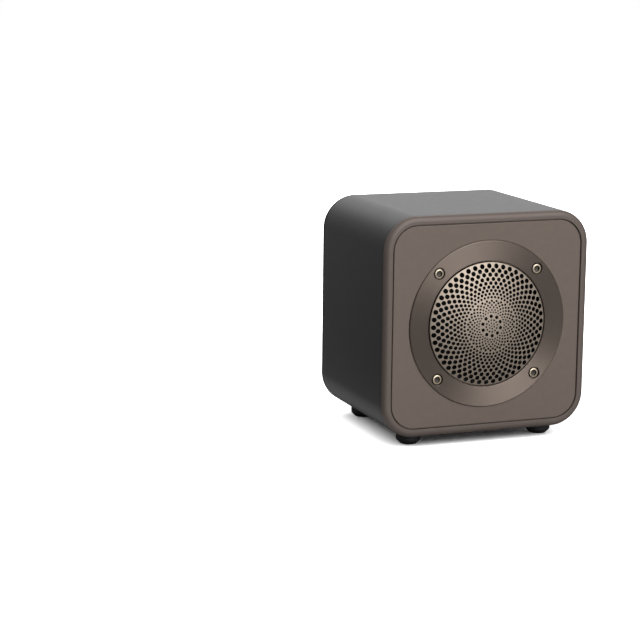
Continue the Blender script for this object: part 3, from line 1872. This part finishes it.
@dataclass
class Studio:
    """The camera, the surroundings, the floor, the key light and the cards."""

    aside: float = 61.24
    away: float = 946.18
    height: float = 233.06
    middle: float = 2.4
    yaw: float = 20.84
    pitch: float = 11.014
    roll: float = 0.628
    lens: float = 116.12
    sensor: float = 36.0
    room: float = 0.32
    dusk: float = 0.9
    shade: float = 0.7
    panels: tuple[Panel, ...] = (
        Panel((0.15, -0.75, 0.6), 0.7, 0.95, 1.42),
        Panel((0.2, 0.95, 0.25), 0.45, 0.9, 0.9),
        Panel((0.22, -0.97, -0.05), 0.93, 0.995, 2.1),
    )
    floor_size: float = 8.0
    floor_seen: Colour = (0.82, 0.82, 0.82)
    floor_unseen: Colour = (0.08, 0.08, 0.08)
    lamp_width: float = 136.0
    lamp_tilt: float = 5.0
    lamp_power: float = 10.5
    key_place: Place = (0.1, -0.62, 0.85)
    key_aim: Place = (0.0, 0.0, 0.05)
    key_size: float = 0.9
    key_power: float = 1.2
    cards: tuple[Card, ...] = (
        Card("shade_card", (0.22, 0.465), (-0.075, 0.1275, 0.109), True, 0.01, 0.2, 0.26, 0.95),
        Card("pale_card", (0.028, 0.29), (-0.0605, 0.105, 0.0006), False, 0.4),
    )

    def build(self) -> None:
        """Set up the whole studio."""
        bpy.context.scene.view_settings.view_transform = "Standard"
        self.set_camera()
        self.set_world()
        self.lay_floor()
        self.hang_key()
        for card in self.cards:
            card.stand()

    def set_camera(self) -> None:
        """Put the camera at the photograph's viewing angle."""
        data = bpy.data.cameras.new("camera")
        data.lens = self.lens
        data.sensor_width = self.sensor
        camera = bpy.data.objects.new("camera", data)
        bpy.context.collection.objects.link(camera)
        turn = Matrix.Rotation(-math.radians(self.yaw), 4, "Z")
        foot = turn @ Vector((-self.aside, -self.away, 0.0))
        place = Vector((foot.x, foot.y + self.middle, self.height)) * MM
        tilt = Matrix.Rotation(math.radians(90 - self.pitch), 4, "X")
        lean = Matrix.Rotation(math.radians(self.roll), 4, "Z")
        camera.matrix_world = Matrix.Translation(place) @ turn @ tilt @ lean
        bpy.context.scene.camera = camera

    @staticmethod
    def seen(wiring: Wiring) -> Signal:
        """Tell the rays that show the background from those that light the object.

        Args:
            wiring: The node tree that asks.

        Returns:
            One on the rays that show it, and nought on the others.
        """
        path = wiring.node("ShaderNodeLightPath")
        seen = Signal(wiring, path.outputs["Is Camera Ray"])
        return seen.larger(Signal(wiring, path.outputs["Is Transmission Ray"]))

    def set_world(self) -> None:
        """Make the surroundings white where they show, and a dim room with panels elsewhere."""
        world = bpy.data.worlds.new("surroundings")
        bpy.context.scene.world = world
        wiring = Wiring(world)
        ray = wiring.node("ShaderNodeTexCoord").outputs["Generated"]
        below = (0 - wiring.along(ray, "Z")).larger(0.0)
        left = (0 - wiring.along(ray, "X")).larger(0.0)
        room = self.room * (1 - below * self.dusk) * (1 - left * self.shade)
        for panel in self.panels:
            room = room + panel.light(wiring, ray)
        seen = self.seen(wiring)
        light = wiring.node("ShaderNodeBackground", {}, {
            "Color": (1.0, 1.0, 1.0), "Strength": seen + room * (1 - seen),
        })
        wiring.node("ShaderNodeOutputWorld", {}, {"Surface": light.outputs[0]})

    def lay_floor(self) -> None:
        """Lay a plain white floor that keeps the shadow, with a light of its own above it."""
        Bench.clear()
        bpy.ops.mesh.primitive_plane_add(size=self.floor_size)
        floor = bpy.context.object
        floor.name = "floor"
        made = bpy.data.materials.new("floor_white")
        wiring = Wiring(made)
        tone = wiring.blend(self.seen(wiring), self.floor_unseen, self.floor_seen)
        matt = wiring.node("ShaderNodeBsdfDiffuse", {}, {"Color": tone})
        wiring.node("ShaderNodeOutputMaterial", {}, {"Surface": matt.outputs[0]})
        floor.data.materials.append(made)
        data = bpy.data.lights.new("floor_light", "SUN")
        data.angle = math.radians(self.lamp_width)
        data.energy = self.lamp_power
        lamp = bpy.data.objects.new("floor_light", data)
        lamp.rotation_euler = (0.0, math.radians(self.lamp_tilt), 0.0)
        bpy.context.collection.objects.link(lamp)
        lit = bpy.data.collections.new("lit_from_above")
        lit.objects.link(floor)
        lamp.light_linking.receiver_collection = lit

    def hang_key(self) -> None:
        """Hang a square soft light above the front and point it at the object."""
        data = bpy.data.lights.new("key", "AREA")
        data.size = self.key_size
        data.energy = self.key_power
        light = bpy.data.objects.new("key", data)
        bpy.context.collection.objects.link(light)
        light.location = self.key_place
        aim = Vector(self.key_aim) - Vector(self.key_place)
        light.rotation_euler = aim.to_track_quat("-Z", "Y").to_euler()


def main() -> None:
    """Build the studio and the speaker's sub-assemblies in order."""
    logging.basicConfig(level=logging.INFO, format="%(message)s")
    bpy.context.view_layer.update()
    Studio().build()
    Interior().dress()
    for assembly in (Housing(), FrontFace(), Grille(), DriveUnit(), RearPanel()):
        assembly.build()
        LOG.info("%s built", type(assembly).__name__)


if __name__ == "__main__":
    main()
